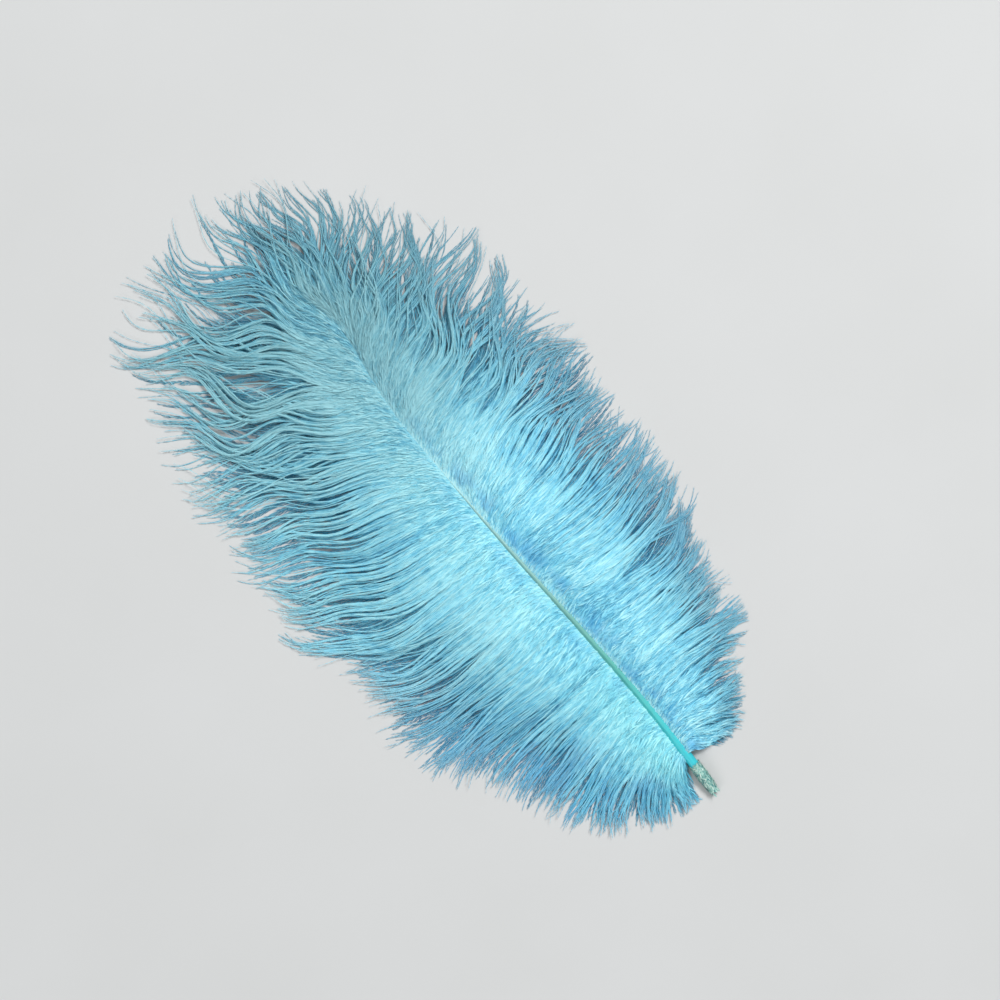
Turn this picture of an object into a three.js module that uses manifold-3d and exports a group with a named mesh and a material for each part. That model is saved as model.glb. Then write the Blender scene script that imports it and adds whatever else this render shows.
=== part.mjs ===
// An ostrich plume, dyed sky blue, lying on its underside. Millimetres.
//
// A bird's feather grows as one piece: a shaft, thick at the cut quill and as thin as a thread at the
// tip, with soft barbs along both sides. The barbs cling together in tapering locks, and here each lock
// is one solid blade. All the locks are fused with the shaft into a single closed body.
//
// While it is built, +Y runs along the shaft from the quill's cut end, which is at Y = 0, +X is to the
// right as seen from above, and Z = 0 is the surface that the plume lies on.

import * as THREE from 'three';
import { mergeVertices } from 'three/addons/utils/BufferGeometryUtils.js';
import Module from 'manifold-3d';

const wasm = await Module();
wasm.setup();

// The shaft's centre line: places across, along and up, with its gentle S and its low arch
const SHAFT_LINE = [
  [0, 0, 1.8],
  [0.8, 18, 3.0],
  [1.6, 42, 6.2],
  [1.2, 78, 10.2],
  [0, 115, 12.2],
  [-0.6, 155, 11.6],
  [0.2, 195, 9.0],
  [5.8, 226, 6.0],
];
const SHAFT_SIDES = 8;
const SHAFT_STEPS = 18;
// The bare quill keeps its thickness, and from there the shaft thins to a thread
const BARE_QUILL_LENGTH = 22;
const QUILL_RADIUS = 1.9;
const SHAFT_TIP_RADIUS = 0.35;
const SHAFT_TAPER_POWER = 1.6;

const LOCKS_PER_SIDE = 30;
const LOCK_SIDES = 4;
const LOCK_STEPS = 7;
// A course seen from above bends over these shares of its reach, from its root and from its tip
const ROOT_HANDLE = 0.42;
const TIP_HANDLE = 0.34;
// Neighbours overlap by this much of their spacing, until they part and draw out to points
const LOCK_OVERLAP = 1.4;
const LOCK_TAPER_POWER = 2.4;
const LOCK_TIP_HALF_WIDTH = 0.25;
const LOCK_THICKNESS_SHARE = 0.36;
const LOCK_MOST_HALF_THICKNESS = 1.7;
// One edge of each lock rides over its neighbour
const LOCK_ROLL = 13;
// Locks grow from the underside of the shaft, so that it stands proud between them
const ROOT_BELOW_SHAFT = 1.1;
// They rise this far on their way out, and then lie on the surface from this share of their length on
const LOCK_LOFT = 6;
const LYING_FROM = 0.82;
const TIP_HEIGHT = 0.35;
// How far single locks stray from the regular fan
const LOFT_SWING = 1.2;
const LENGTH_SWING = 0.05;
const HEADING_SWING = 7;

// Locks from the quill upwards, one row for each key lock: the root's place along the shaft, the tip's
// place outwards and along, and the headings at the root and the tip, in degrees from the shaft's own
// direction. Locks between two rows are blended from them.
const LEFT_VANE = [
  [22, 15, 1, 125, 166],
  [29, 32, 10, 105, 133],
  [38, 46, 24, 100, 122],
  [50, 53, 38, 102, 118],
  [64, 60, 55, 106, 114],
  [78, 72, 73, 108, 104],
  [92, 77, 93, 100, 76],
  [106, 73, 115, 96, 60],
  [120, 80, 140, 98, 40],
  [135, 79, 163, 92, 38],
  [150, 77, 186, 74, 56],
  [166, 75, 209, 62, 56],
  [182, 69, 234, 60, 30],
  [195, 60, 256, 58, 28],
  [206, 55, 271, 52, 22],
  [215, 38, 281, 42, 6],
  [221, 16, 286, 24, -12],
  [225, -10, 286, 0, -18],
];
const RIGHT_VANE = [
  [22, 17, 12, 106, 132],
  [29, 30, 20, 102, 118],
  [36, 38, 33, 94, 106],
  [46, 47, 42, 88, 114],
  [60, 52, 60, 90, 92],
  [75, 56, 78, 96, 70],
  [90, 61, 93, 98, 66],
  [105, 62, 106, 104, 68],
  [120, 64, 126, 94, 72],
  [135, 65, 150, 76, 84],
  [150, 67, 165, 72, 100],
  [165, 63, 187, 82, 60],
  [180, 61, 212, 76, 40],
  [192, 53, 229, 64, 42],
  [204, 46, 241, 54, 48],
  [213, 37, 254, 48, 36],
  [220, 24, 272, 30, 22],
  [225, 4, 286, 0, 0],
];

const UP = new THREE.Vector3(0, 0, 1);
const radians = THREE.MathUtils.degToRad;

// A smooth reading between the rows of a table, at any place from the first key to the last
function tableReader(keys, rows) {
  const curve = new THREE.CubicInterpolant(keys, rows.flat(), rows[0].length);
  return (place) => [...curve.evaluate(place)];
}

const readShaft = tableReader(
  SHAFT_LINE.map(([, along]) => along),
  SHAFT_LINE.map(([across, , height]) => [across, height]),
);

const shaftLength = SHAFT_LINE.at(-1)[1];

function shaftPoint(along) {
  const [across, height] = readShaft(along);
  return new THREE.Vector3(across, along, height);
}

function shaftRadius(along) {
  const left = Math.min((shaftLength - along) / (shaftLength - BARE_QUILL_LENGTH), 1);
  return THREE.MathUtils.lerp(SHAFT_TIP_RADIUS, QUILL_RADIUS, left ** SHAFT_TAPER_POWER);
}

// Bends a closed unit cylinder onto a path, with its own half width and half thickness at each step
function bentRod({ sides, steps, pointAt, halfWidth, halfThickness, roll = 0 }) {
  const geometry = new THREE.CylinderGeometry(1, 1, 1, sides, steps, false, Math.PI / 2);
  const position = geometry.attributes.position;
  const ends = 1e-3;
  for (let i = 0; i < position.count; i += 1) {
    const t = THREE.MathUtils.clamp(position.getY(i) + 0.5, 0, 1);
    const ahead = pointAt(Math.min(t + ends, 1)).sub(pointAt(Math.max(t - ends, 0))).normalize();
    const across = new THREE.Vector3().crossVectors(ahead, UP).normalize().applyAxisAngle(ahead, roll);
    const upward = new THREE.Vector3().crossVectors(across, ahead);
    const point = pointAt(t)
      .addScaledVector(across, position.getX(i) * halfWidth(t))
      .addScaledVector(upward, position.getZ(i) * halfThickness(t));
    position.setXYZ(i, point.x, point.y, point.z);
  }
  return geometry;
}

function solidOf(geometry) {
  geometry.deleteAttribute('normal');
  geometry.deleteAttribute('uv');
  const merged = mergeVertices(geometry, 1e-5);
  const mesh = new wasm.Mesh({
    numProp: 3,
    vertProperties: merged.attributes.position.array,
    triVerts: Uint32Array.from(merged.index.array),
  });
  return new wasm.Manifold(mesh);
}

function makeShaft() {
  return solidOf(bentRod({
    sides: SHAFT_SIDES,
    steps: SHAFT_STEPS,
    pointAt: (t) => shaftPoint(t * shaftLength),
    halfWidth: (t) => shaftRadius(t * shaftLength),
    halfThickness: (t) => shaftRadius(t * shaftLength),
  }));
}

function headingVector(degrees, side) {
  const angle = radians(degrees);
  return new THREE.Vector2(side * Math.sin(angle), Math.cos(angle));
}

// The course of a lock seen from above, for a row of the vane's table. `side` is -1 left and 1 right.
function lockPlan(row, side) {
  const [rootAlong, tipOut, tipAlong, rootHeading, tipHeading] = row;
  const root = shaftPoint(rootAlong);
  const start = new THREE.Vector2(root.x, root.y);
  const tip = new THREE.Vector2(side * tipOut, tipAlong);
  const reach = start.distanceTo(tip);
  return new THREE.CubicBezierCurve(
    start,
    start.clone().addScaledVector(headingVector(rootHeading, side), reach * ROOT_HANDLE),
    tip.clone().addScaledVector(headingVector(tipHeading, side), -reach * TIP_HANDLE),
    tip,
  );
}

// A lock's height at a share t of its length: it rises a little from the shaft, then droops to the surface
function lockHeight(t, rootHeight, loft) {
  const fall = Math.min(t / LYING_FROM, 1);
  const droop = (1 - fall) ** 2 * (1 + 2 * fall);
  const rise = (27 / 4) * fall * (1 - fall) ** 2;
  return TIP_HEIGHT + (rootHeight - TIP_HEIGHT) * droop + loft * rise;
}

// One lock of barbs, as wide as the space between the courses on either side of it and an overlap
function makeLock({ row, before, after, side, loft }) {
  const plan = lockPlan(row, side);
  const rootHeight = shaftPoint(row[0]).z - ROOT_BELOW_SHAFT;
  const halfWidth = (t) => {
    const share = before.getPoint(t).distanceTo(after.getPoint(t)) / 2;
    return LOCK_TIP_HALF_WIDTH + LOCK_OVERLAP * share * (1 - t ** LOCK_TAPER_POWER);
  };
  return solidOf(bentRod({
    sides: LOCK_SIDES,
    steps: LOCK_STEPS,
    pointAt: (t) => {
      const { x, y } = plan.getPoint(t);
      return new THREE.Vector3(x, y, lockHeight(t, rootHeight, loft));
    },
    halfWidth,
    halfThickness: (t) => Math.min(LOCK_THICKNESS_SHARE * halfWidth(t), LOCK_MOST_HALF_THICKNESS),
    roll: side * radians(LOCK_ROLL),
  }));
}

// A repeatable swing from -1 to 1, different for each lock
const swing = (index, kind) => Math.sin(index * 2.4 + kind * 1.7);

function makeVane(rows, side) {
  const readRow = tableReader(rows.map((_, index) => index), rows);
  const lastPlace = rows.length - 1;
  const step = lastPlace / (LOCKS_PER_SIDE - 1);
  return Array.from({ length: LOCKS_PER_SIDE }, (_, i) => {
    const place = i * step;
    const row = readRow(place);
    row[1] *= 1 + LENGTH_SWING * swing(i, 0);
    row[4] += HEADING_SWING * swing(i, 1);
    return makeLock({
      row,
      before: lockPlan(readRow(Math.max(place - step / 2, 0)), side),
      after: lockPlan(readRow(Math.min(place + step / 2, lastPlace)), side),
      side,
      loft: LOCK_LOFT + LOFT_SWING * swing(i, 2),
    });
  });
}

// Everything below the surface is cut away, which leaves flat places where the plume rests
function cutAtSurface(solid) {
  const size = 4 * shaftLength;
  return solid.subtract(solidOf(new THREE.BoxGeometry(size, size, size).translate(0, 0, -size / 2)));
}

function geometryOf(solid) {
  const { vertProperties, triVerts } = solid.getMesh();
  const geometry = new THREE.BufferGeometry();
  geometry.setAttribute('position', new THREE.BufferAttribute(vertProperties, 3));
  geometry.setIndex(new THREE.BufferAttribute(triVerts, 1));
  geometry.computeVertexNormals();
  return geometry;
}

function makeFeather() {
  const locks = [...makeVane(LEFT_VANE, -1), ...makeVane(RIGHT_VANE, 1)];
  const joined = locks.reduce((sum, lock) => sum.add(lock), makeShaft());
  // Overlapping locks can shut in a small pocket. It comes apart here as a shell of its own, so that
  // the body is left solid there.
  const [whole] = cutAtSurface(joined).decompose().sort((a, b) => b.volume() - a.volume());
  const geometry = geometryOf(whole);
  // The part's own origin is below the middle of its box, on the surface
  geometry.computeBoundingBox();
  const { min, max } = geometry.boundingBox;
  return geometry.translate(-(min.x + max.x) / 2, -(min.y + max.y) / 2, -min.z);
}

const feather = new THREE.Mesh(
  makeFeather(),
  new THREE.MeshStandardMaterial({ color: 0x83cfe8, roughness: 0.85, metalness: 0 }),
);
feather.name = 'feather';

const plume = new THREE.Group();
plume.add(feather);

export default plume;
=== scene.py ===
# %% [markdown]
# # A dyed ostrich plume
#
# An ostrich plume has a stiff shaft with hundreds of soft barbs along both sides. Each barb carries
# two rows of hair-thin barbules, and because they have no hooks, the barbs don't zip together into a
# flat blade as a crow's do. They hang loose, part into strands and curl over at their tips.
#
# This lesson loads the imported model, which fixes the plume's size and place, and then grows the
# plume's real surface around it. Lengths in the tables are in millimetres.

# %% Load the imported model
import math
from dataclasses import dataclass

import bpy
import numpy as np
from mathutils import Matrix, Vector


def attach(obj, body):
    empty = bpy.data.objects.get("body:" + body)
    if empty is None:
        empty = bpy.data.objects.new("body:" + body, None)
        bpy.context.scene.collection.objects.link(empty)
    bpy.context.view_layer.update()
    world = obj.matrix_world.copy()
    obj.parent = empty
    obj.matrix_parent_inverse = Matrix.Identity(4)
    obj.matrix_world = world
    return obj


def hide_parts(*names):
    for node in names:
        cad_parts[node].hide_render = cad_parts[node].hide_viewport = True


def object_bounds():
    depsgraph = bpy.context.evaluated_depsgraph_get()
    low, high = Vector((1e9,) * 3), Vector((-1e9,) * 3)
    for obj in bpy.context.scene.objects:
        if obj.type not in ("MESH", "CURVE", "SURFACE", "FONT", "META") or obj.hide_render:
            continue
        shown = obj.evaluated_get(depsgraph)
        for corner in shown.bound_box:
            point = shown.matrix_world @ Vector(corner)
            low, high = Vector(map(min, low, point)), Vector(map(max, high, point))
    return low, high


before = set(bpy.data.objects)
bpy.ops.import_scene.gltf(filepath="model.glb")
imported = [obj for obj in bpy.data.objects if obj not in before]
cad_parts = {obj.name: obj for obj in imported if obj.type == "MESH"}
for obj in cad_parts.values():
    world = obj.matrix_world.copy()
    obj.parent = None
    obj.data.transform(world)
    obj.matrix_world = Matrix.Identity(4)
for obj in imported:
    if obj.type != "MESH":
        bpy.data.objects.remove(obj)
cad_low, cad_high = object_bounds()
MM = 0.001
print("the model's box in mm:", [round(side / MM, 1) for side in cad_high - cad_low])

# %% [markdown]
# ## The camera
#
# The plume lies on a table and the camera looks straight down on it. The picture's frame is turned
# against the shaft, and a camera above the table does that with a turn about the vertical axis. A long
# lens from far away keeps the plume's sides from leaning outwards.

# %% Look straight down
FRAME_WIDTH = 0.375
LENS = 85
SENSOR_WIDTH = 36
FRAME_TURN = math.radians(-40.2)
FRAME_MIDDLE = (0.0169, -0.0071, 0.006)

view_distance = FRAME_WIDTH * LENS / SENSOR_WIDTH
lens = bpy.data.cameras.new("camera")
lens.lens = LENS
lens.sensor_width = SENSOR_WIDTH
camera = bpy.data.objects.new("camera", lens)
camera.location = (*FRAME_MIDDLE[:2], FRAME_MIDDLE[2] + view_distance)
camera.rotation_euler = (0, 0, FRAME_TURN)
bpy.context.collection.objects.link(camera)
bpy.context.scene.camera = camera
bpy.context.scene.view_settings.view_transform = "Standard"
print("the camera looks down from", round(view_distance, 3), "m")

# %% [markdown]
# ## Values that do sums
#
# A material is a network of nodes, and sums are easier to read as expressions. The class below wraps
# one socket. Sums of wrapped sockets add the Math nodes, and its method `node` adds every other kind.


# %% Wrap a socket
class Signal:
    """A value or colour on its way through a material."""

    def __init__(self, tree, socket=None):
        self.tree = tree
        self.socket = socket

    def node(self, kind, settings=None, inputs=None, output=None):
        """Adds a node: its settings come first, then the values or links of its sockets."""
        made = self.tree.nodes.new(kind)
        for name, value in (settings or {}).items():
            if name == "stops":
                fill_ramp(made.color_ramp, value)
            else:
                setattr(made, name, value)
        for name, value in (inputs or {}).items():
            socket = pick(made.inputs, name)
            if isinstance(value, Signal):
                self.tree.links.new(value.socket, socket)
            else:
                socket.default_value = value
        return Signal(self.tree, pick(made.outputs, output) if made.outputs else None)

    def math(self, operation, first, second):
        return self.node("ShaderNodeMath", {"operation": operation}, {0: first, 1: second})

    def __add__(self, other):
        return self.math("ADD", self, other)

    def __sub__(self, other):
        return self.math("SUBTRACT", self, other)

    def __rsub__(self, other):
        return self.math("SUBTRACT", other, self)

    def __mul__(self, other):
        return self.math("MULTIPLY", self, other)

    def __truediv__(self, other):
        return self.math("DIVIDE", self, other)

    __radd__ = __add__
    __rmul__ = __mul__


def pick(sockets, name):
    """A node's socket by its number, or the one in use by its name, or simply the first in use."""
    if isinstance(name, int):
        return sockets[name]
    return next(s for s in sockets if s.enabled and (name is None or s.name == name))


def fill_ramp(ramp, stops):
    """Puts (place, colour) stops on a colour ramp."""
    while len(ramp.elements) < len(stops):
        ramp.elements.new(1.0)
    for element, (place, colour) in zip(ramp.elements, stops):
        element.position = place
        element.color = (*colour, 1.0)


print("values can now do sums")

# %% [markdown]
# Four helpers keep the materials short. They start a material, turn a colour as read off a screen into
# linear values, mix two colours, and end with the Principled shader, which does for every finish here.


# %% Helpers for materials
def new_material(name):
    """An empty material, and a Signal to start its nodes from."""
    material = bpy.data.materials.new(name)
    material.use_nodes = True
    material.node_tree.nodes.clear()
    return material, Signal(material.node_tree)


def linear(red, green, blue):
    """A colour as read off a screen, from 0 to 255, as the linear values that nodes use."""
    return tuple(
        share / 12.92 if share <= 0.04045 else ((share + 0.055) / 1.055) ** 2.4
        for share in (red / 255, green / 255, blue / 255)
    )


def blend(start, factor, first, second):
    """Mixes two colours, each one a plain colour or a Signal."""
    whole = {"A": first, "B": second}
    for name, value in whole.items():
        if not isinstance(value, Signal):
            whole[name] = (*value, 1.0)
    settings = {"data_type": "RGBA"}
    return start.node("ShaderNodeMix", settings, {"Factor": factor, **whole}, "Result")


def end_material(start, sockets):
    """The shader with the given values or links of its sockets, and the material's output."""
    shell = start.node("ShaderNodeBsdfPrincipled", {}, sockets)
    start.node("ShaderNodeOutputMaterial", {}, {"Surface": shell})


print("a middle grey on screen is", round(linear(128, 128, 128)[0], 3), "to the nodes")

# %% [markdown]
# ## Table and light
#
# The table is a plain pale sheet. A soft key light stands on the plume's right, because it shows the
# relief: the shaft's left flank falls into shade, and so does the slope just right of the shaft. A
# weak light on the left, a wide one overhead and a pale sky fill the shadows.

# %% Lay the table
TABLE_SIZE = 3.0

bpy.ops.mesh.primitive_plane_add(size=TABLE_SIZE, location=(0, 0, 0))
table = bpy.context.object
table.name = "table"

paint, start = new_material("table_paint")
grain = start.node("ShaderNodeTexNoise", {}, {"Scale": 40.0, "Detail": 3.0}, "Fac")
shade = blend(start, grain, linear(200, 201, 200), linear(206, 207, 207))
end_material(start, {"Base Color": shade, "Roughness": 0.8})
table.data.materials.append(paint)
print("the table is", TABLE_SIZE, "m wide")

# %% Hang the lights
# Each square light's direction as seen from the plume, its size in metres and its power in watts
LIGHTS = {
    "key": ((0.60, 0.15, 0.85), 0.8, 49.0),
    "fill": ((-0.75, -0.15, 0.65), 1.2, 16.0),
    "overhead": ((0, 0, 1), 2.4, 14.0),
}
LIGHT_DISTANCE = 2.5
SKY_STRENGTH = 0.23
SKY_COLOUR = (0.93, 0.97, 1.0, 1.0)

for name, (direction, size, power) in LIGHTS.items():
    lamp = bpy.data.lights.new(name, "AREA")
    lamp.size = size
    lamp.energy = power
    holder = bpy.data.objects.new(name, lamp)
    holder.location = np.array(direction) / np.linalg.norm(direction) * LIGHT_DISTANCE
    holder.rotation_euler = holder.location.to_track_quat("Z", "Y").to_euler()
    bpy.context.collection.objects.link(holder)
    print("the", name, "light has", power, "W")

sky = bpy.data.worlds.new("sky")
sky.use_nodes = True
sky.node_tree.nodes["Background"].inputs["Strength"].default_value = SKY_STRENGTH
sky.node_tree.nodes["Background"].inputs["Color"].default_value = SKY_COLOUR
bpy.context.scene.world = sky

# %% [markdown]
# ## The shaft's course
#
# Everything grows from the shaft, so its centre line comes first. It is a short table of places, read
# along a smooth curve. The plume's own directions are x to the right, y along the shaft from the
# quill's cut end, and z up from the table, and one shift takes them to the model's frame.

# %% The centre line and its thickness
SHAFT_LINE = np.array([
    [0, 0, 1.8],
    [0.8, 18, 3.0],
    [1.6, 42, 6.2],
    [1.2, 78, 10.2],
    [0, 115, 12.2],
    [-0.6, 155, 11.6],
    [0.2, 195, 9.0],
    [5.8, 226, 6.0],
], float)
BARE_QUILL = 22.0
QUILL_RADIUS = 1.9
TIP_RADIUS = 0.35
TAPER_POWER = 1.6
QUILL_END_ACROSS = 7.85

shaft_length = SHAFT_LINE[-1, 1]
plume_place = np.array([QUILL_END_ACROSS, cad_low.y / MM, 0.0])


def read_rows(keys, rows, places):
    """The rows of a table, read smoothly at any places between its keys."""
    slopes = np.gradient(rows, keys, axis=0)
    i = np.clip(np.searchsorted(keys, places, side="right") - 1, 0, len(keys) - 2)
    span = (keys[i + 1] - keys[i])[..., None]
    u = (np.asarray(places, float) - keys[i])[..., None] / span
    bend_in = u * (1 - u) ** 2 * span * slopes[i]
    bend_out = u * u * (1 - u) * span * slopes[i + 1]
    ease = u * u * (3 - 2 * u)
    return rows[i] * (1 - ease) + rows[i + 1] * ease + bend_in - bend_out


def shaft_point(along):
    across_and_up = read_rows(SHAFT_LINE[:, 1], SHAFT_LINE[:, [0, 2]], along)
    return np.stack([across_and_up[..., 0], np.asarray(along, float), across_and_up[..., 1]], -1)


def shaft_radius(along):
    left = np.minimum((shaft_length - along) / (shaft_length - BARE_QUILL), 1.0)
    return TIP_RADIUS + (QUILL_RADIUS - TIP_RADIUS) * np.maximum(left, 0) ** TAPER_POWER


print("the shaft is", shaft_length, "mm long and", 2 * QUILL_RADIUS, "mm thick at the quill")

# %% [markdown]
# ## Meshes from arrays
#
# Blender's `foreach_set` hands a whole numpy array to a mesh at once, which takes a second where adding
# faces one by one takes minutes. Each point also carries a few named numbers, such as how far along
# its barb it is, and the material reads them.


# %% Turn arrays into a piece of the plume
def make_piece(name, points, faces, marks, sheet, material):
    """A triangle mesh in metres. `marks` are named numbers per point, `sheet` its flat map."""
    mesh = bpy.data.meshes.new(name)
    mesh.vertices.add(len(points))
    mesh.vertices.foreach_set("co", ((points + plume_place) * MM).astype(np.float32).ravel())
    mesh.loops.add(faces.size)
    mesh.loops.foreach_set("vertex_index", faces.astype(np.int32).ravel())
    mesh.polygons.add(len(faces))
    mesh.polygons.foreach_set("loop_start", np.arange(0, faces.size, 3, dtype=np.int32))
    mesh.update(calc_edges=True)
    for mark, values in marks.items():
        attribute = mesh.attributes.new(mark, "FLOAT", "POINT")
        attribute.data.foreach_set("value", values.astype(np.float32))
    flat = mesh.uv_layers.new(name="OFBake")
    flat.uv.foreach_set("vector", sheet[faces.ravel()].astype(np.float32).ravel())
    mesh.materials.append(material)
    piece = bpy.data.objects.new(name, mesh)
    bpy.context.collection.objects.link(piece)
    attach(piece, "root")
    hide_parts("feather")
    print(name, "has", len(faces), "triangles")
    return piece


# %% [markdown]
# ## Where the barbs run
#
# The barbs of a plume don't all run alike. At the quill they fan backwards, in the middle they stand
# out level and then curl towards the tip on the left and away from it on the right, and at the top
# they splay. Two tables hold that: one row for each key barb, with its root's place along the shaft,
# its tip's place outwards and along, and its headings at both ends in degrees from the shaft.

# %% The two vanes
LEFT_VANE = np.array([
    [21, 7, 2, 146, 174],
    [24, 19, 2, 122, 160],
    [29, 32, 10, 105, 133],
    [38, 46, 24, 100, 122],
    [50, 53, 38, 102, 118],
    [64, 60, 55, 106, 114],
    [78, 72, 73, 108, 104],
    [92, 77, 93, 100, 76],
    [106, 73, 115, 96, 60],
    [120, 80, 140, 98, 40],
    [135, 79, 163, 92, 38],
    [150, 77, 186, 74, 56],
    [166, 75, 209, 62, 56],
    [182, 69, 234, 60, 30],
    [195, 60, 256, 58, 28],
    [206, 55, 271, 52, 22],
    [215, 38, 281, 42, 6],
    [221, 16, 286, 24, -12],
    [225, -10, 286, 0, -18],
], float)
RIGHT_VANE = np.array([
    [21, 12, 13, 106, 130],
    [24, 21, 12, 105, 132],
    [29, 30, 20, 102, 118],
    [36, 38, 33, 94, 106],
    [46, 47, 42, 88, 114],
    [60, 52, 60, 90, 92],
    [75, 56, 78, 96, 70],
    [90, 61, 93, 98, 66],
    [105, 62, 106, 104, 68],
    [120, 64, 126, 94, 72],
    [135, 65, 150, 76, 84],
    [150, 67, 165, 72, 100],
    [165, 63, 187, 82, 60],
    [180, 61, 212, 76, 40],
    [192, 53, 229, 64, 42],
    [204, 46, 241, 54, 48],
    [213, 37, 254, 48, 36],
    [220, 24, 272, 30, 22],
    [225, 4, 286, 0, 0],
], float)
row_numbers = np.arange(len(LEFT_VANE), dtype=float)
last_row = row_numbers[-1]


def heading(degrees, side):
    angle = np.radians(degrees)
    return np.stack([side * np.sin(angle), np.cos(angle)], -1)


def smooth_step(low, high, value):
    u = np.clip((value - low) / (high - low), 0, 1)
    return u * u * (3 - 2 * u)


def unit(vectors):
    return vectors / np.linalg.norm(vectors, axis=-1, keepdims=True)


print("key barbs on each side:", len(LEFT_VANE), len(RIGHT_VANE))

# %% [markdown]
# A barb leaves the shaft steeply, leaning towards the tip, and bends outwards within a few
# millimetres. So its true root sits a little nearer the quill than the course that it soon joins.

# %% A barb's course, seen from above
ROOT_LEAN = 3.4
LEAN_FADES_IN = 3.6
ROOT_HANDLE = 0.42
TIP_HANDLE = 0.34


def course_from_above(rows, side, place, t):
    """Points at shares t of the barbs whose places in the table are given."""
    row = read_rows(row_numbers, rows, place)
    root_along, tip_out, tip_along, root_heading, tip_heading = np.moveaxis(row, -1, 0)
    root = shaft_point(root_along)[..., :2]
    tip = np.stack([side * tip_out, tip_along], -1)
    reach = np.linalg.norm(tip - root, axis=-1, keepdims=True)
    knee = root + heading(root_heading, side) * reach * ROOT_HANDLE
    elbow = tip - heading(tip_heading, side) * reach * TIP_HANDLE
    u = t[..., None]
    v = 1 - u
    points = v**3 * root + 3 * v * v * u * knee + 3 * v * u * u * elbow + u**3 * tip
    lean = np.sin(np.radians(np.clip(root_heading, 0, 90)))
    points[..., 1] -= ROOT_LEAN * lean * np.exp(-reach[..., 0] * t / LEAN_FADES_IN)
    return points


halfway = course_from_above(LEFT_VANE, -1, np.array([[last_row / 2]]), np.linspace(0, 1, 40)[None])
print("a left barb halfway up ends at", np.round(halfway[0, -1]), "mm")

# %% [markdown]
# ## How barbs gather
#
# Loose barbs cling to their neighbours: up to five make a strand, and some strands make a lock. So
# each barb starts in a tuft with its neighbours, spreads into the smooth fur beside the shaft, and
# further out drifts back into its strand and its lock. The curling of the plume gave neighbours the
# same waves, which shift only slowly along the vane. Every barb, strand and lock also wanders by
# itself, which opens the gaps and makes the strands cross. The barbs on the plume's underside lie
# calmer and wider, and close the vane. A few single wisps reach out past all the others.

# %% Three habits of growth
@dataclass
class Habit:
    """How one layer of barbs grows. Lengths are in millimetres."""

    name: str
    barbs: int
    strand_sizes: tuple
    lock_sizes: tuple
    strand_pull: float
    lock_pull: float
    wave: float
    lock_sway: float
    strand_sway: float
    strand_curl: float
    barb_sway: float
    tip_curl: float
    lowest: float
    highest: float
    reach: float
    reach_at_top: float
    reach_scatter: float
    barbule_gap: float
    barbule_length: float
    barbule_half_width: float
    spread: float
    fluff: float


UPPER = Habit(
    name="barbs", barbs=880, strand_sizes=(1, 5), lock_sizes=(12, 40),
    strand_pull=0.75, lock_pull=0.25, wave=3.5, lock_sway=3.2, strand_sway=1.3, strand_curl=0.35,
    barb_sway=0.45, tip_curl=0.0, lowest=-2.0, highest=3.2,
    reach=0.98, reach_at_top=0.92, reach_scatter=0.045,
    barbule_gap=1.05, barbule_length=6.0, barbule_half_width=0.11, spread=0.55, fluff=1.0,
)
UNDER = Habit(
    name="under_barbs", barbs=280, strand_sizes=(1, 1), lock_sizes=(6, 10),
    strand_pull=0.0, lock_pull=0.0, wave=2.3, lock_sway=0.6, strand_sway=0.0, strand_curl=0.0,
    barb_sway=0.3, tip_curl=0.0, lowest=-3.6, highest=-1.4,
    reach=0.93, reach_at_top=0.74, reach_scatter=0.04,
    barbule_gap=0.8, barbule_length=6.0, barbule_half_width=0.18, spread=1.5, fluff=0.3,
)
WISPS = Habit(
    name="wisps", barbs=130, strand_sizes=(1, 2), lock_sizes=(2, 6),
    strand_pull=0.5, lock_pull=0.3, wave=2.9, lock_sway=2.8, strand_sway=1.2, strand_curl=0.12,
    barb_sway=0.7, tip_curl=2.5, lowest=-1.0, highest=3.5,
    reach=1.02, reach_at_top=0.99, reach_scatter=0.045,
    barbule_gap=1.6, barbule_length=5.0, barbule_half_width=0.1, spread=0.35, fluff=0.6,
)
print("barbs on each side:", UPPER.barbs, "upper,", UNDER.barbs, "under and", WISPS.barbs, "wisps")


# %% Where the barbs stand, and in what groups
def root_places(rows, count):
    """The barbs' places in the table, shared out by the shaft and the edge between its rows."""
    roots = np.abs(np.diff(rows[:, 0]))
    tips = np.hypot(np.diff(rows[:, 1]), np.diff(rows[:, 2]))
    worth = np.cumsum(np.concatenate([[0], roots / roots.sum() + tips / tips.sum()]))
    return np.interp(np.linspace(0, worth[-1], count), worth, row_numbers)


def gather(places, sizes, dice):
    """Numbers the group of each place, and gives the middle of its group."""
    least, most = sizes
    counts = dice.integers(least, most + 1, len(places))
    numbers = np.repeat(np.arange(len(counts)), counts)[: len(places)]
    sums = np.bincount(numbers, places)
    return numbers, (sums / np.bincount(numbers))[numbers]


trial_dice = np.random.default_rng(0)
trial_locks, _ = gather(root_places(LEFT_VANE, UPPER.barbs), UPPER.lock_sizes, trial_dice)
print("a trial makes", trial_locks[-1] + 1, "locks")

# %% Random swings
PACE_SCATTER = (0.6, 1.4)
SWING_SCATTER = 0.7


def wander(numbers, t, turns, dice):
    """A slow side-to-side swing for each group, growing from nothing at the root."""
    count = numbers.max() + 1
    phase = dice.uniform(0, 2 * np.pi, count)[numbers][:, None]
    pace = dice.uniform(*PACE_SCATTER, count)[numbers][:, None] * turns
    size = dice.normal(0, SWING_SCATTER, count)[numbers][:, None]
    return size * (np.sin(2 * np.pi * pace * t + phase) - np.sin(phase) * (1 - t))


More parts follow.
